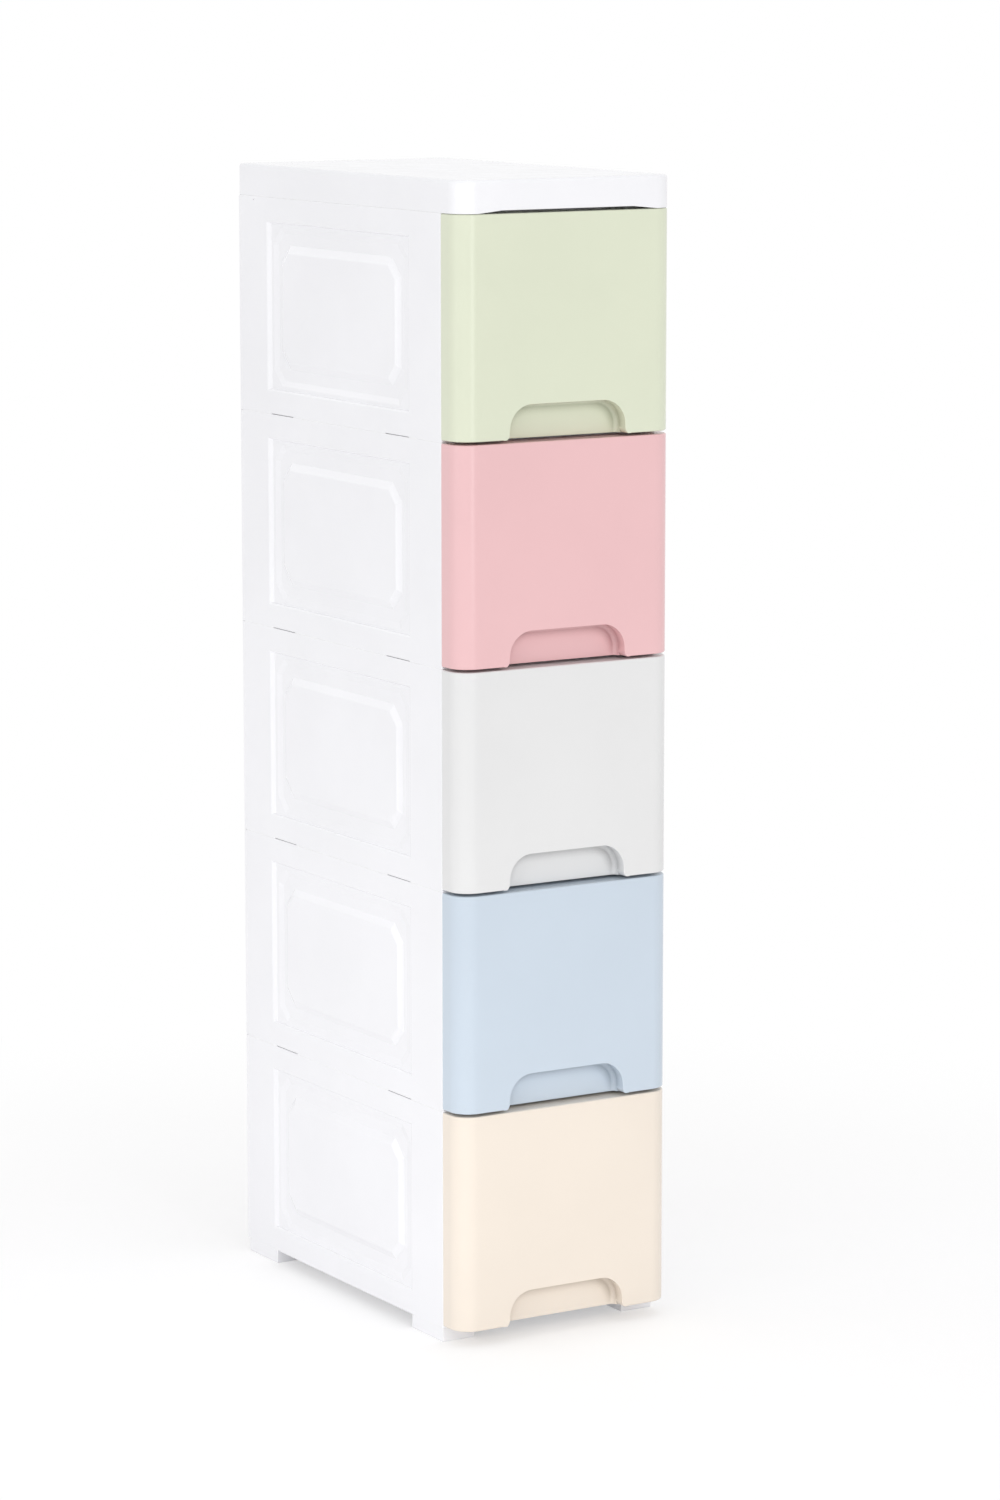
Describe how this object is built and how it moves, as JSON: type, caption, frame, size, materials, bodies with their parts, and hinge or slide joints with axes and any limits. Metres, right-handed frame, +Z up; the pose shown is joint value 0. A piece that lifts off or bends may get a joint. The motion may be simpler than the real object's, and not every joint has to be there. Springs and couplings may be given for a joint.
{
  "type": "plastic drawer tower",
  "caption": "Slim plastic drawer tower with stacked moulded side panels, pastel drawer fronts with a finger notch, white trays, a top cover and a footed base.",
  "frame": {"origin": "middle of the footprint, on the floor", "axes": "+Z up, -Y out of the drawer faces, +X to the right seen from the front"},
  "size_m": [0.214, 0.386, 1],
  "materials": {
    "casing_white": "smooth moulded plastic with a soft gloss",
    "tray_white": "satin moulded plastic",
    "front_green": "glossy moulded plastic",
    "front_pink": "glossy moulded plastic",
    "front_grey": "glossy moulded plastic",
    "front_blue": "glossy moulded plastic",
    "front_cream": "glossy moulded plastic"
  },
  "bodies": {
    "casing": {"base": "casing_white", "side_panel_left_1": "casing_white", "side_panel_left_2": "casing_white", "side_panel_left_3": "casing_white", "side_panel_left_4": "casing_white", "side_panel_left_5": "casing_white", "side_panel_right_1": "casing_white", "side_panel_right_2": "casing_white", "side_panel_right_3": "casing_white", "side_panel_right_4": "casing_white", "side_panel_right_5": "casing_white", "back_panel_1": "casing_white", "back_panel_2": "casing_white", "back_panel_3": "casing_white", "back_panel_4": "casing_white", "back_panel_5": "casing_white", "divider_1": "casing_white", "divider_2": "casing_white", "divider_3": "casing_white", "divider_4": "casing_white", "top_cover": "casing_white"},
    "drawer_1": {"drawer_front_1": "front_green", "drawer_tray_1": "tray_white"},
    "drawer_2": {"drawer_front_2": "front_pink", "drawer_tray_2": "tray_white"},
    "drawer_3": {"drawer_front_3": "front_grey", "drawer_tray_3": "tray_white"},
    "drawer_4": {"drawer_front_4": "front_blue", "drawer_tray_4": "tray_white"},
    "drawer_5": {"drawer_front_5": "front_cream", "drawer_tray_5": "tray_white"}
  },
  "joints": [
    {"name": "drawer_1_slide", "type": "slide", "parent": "casing", "child": "drawer_1", "axis": [0, -1, 0], "range_m": [0, 0.27]},
    {"name": "drawer_2_slide", "type": "slide", "parent": "casing", "child": "drawer_2", "axis": [0, -1, 0], "range_m": [0, 0.27]},
    {"name": "drawer_3_slide", "type": "slide", "parent": "casing", "child": "drawer_3", "axis": [0, -1, 0], "range_m": [0, 0.27]},
    {"name": "drawer_4_slide", "type": "slide", "parent": "casing", "child": "drawer_4", "axis": [0, -1, 0], "range_m": [0, 0.27]},
    {"name": "drawer_5_slide", "type": "slide", "parent": "casing", "child": "drawer_5", "axis": [0, -1, 0], "range_m": [0, 0.27]}
  ]
}
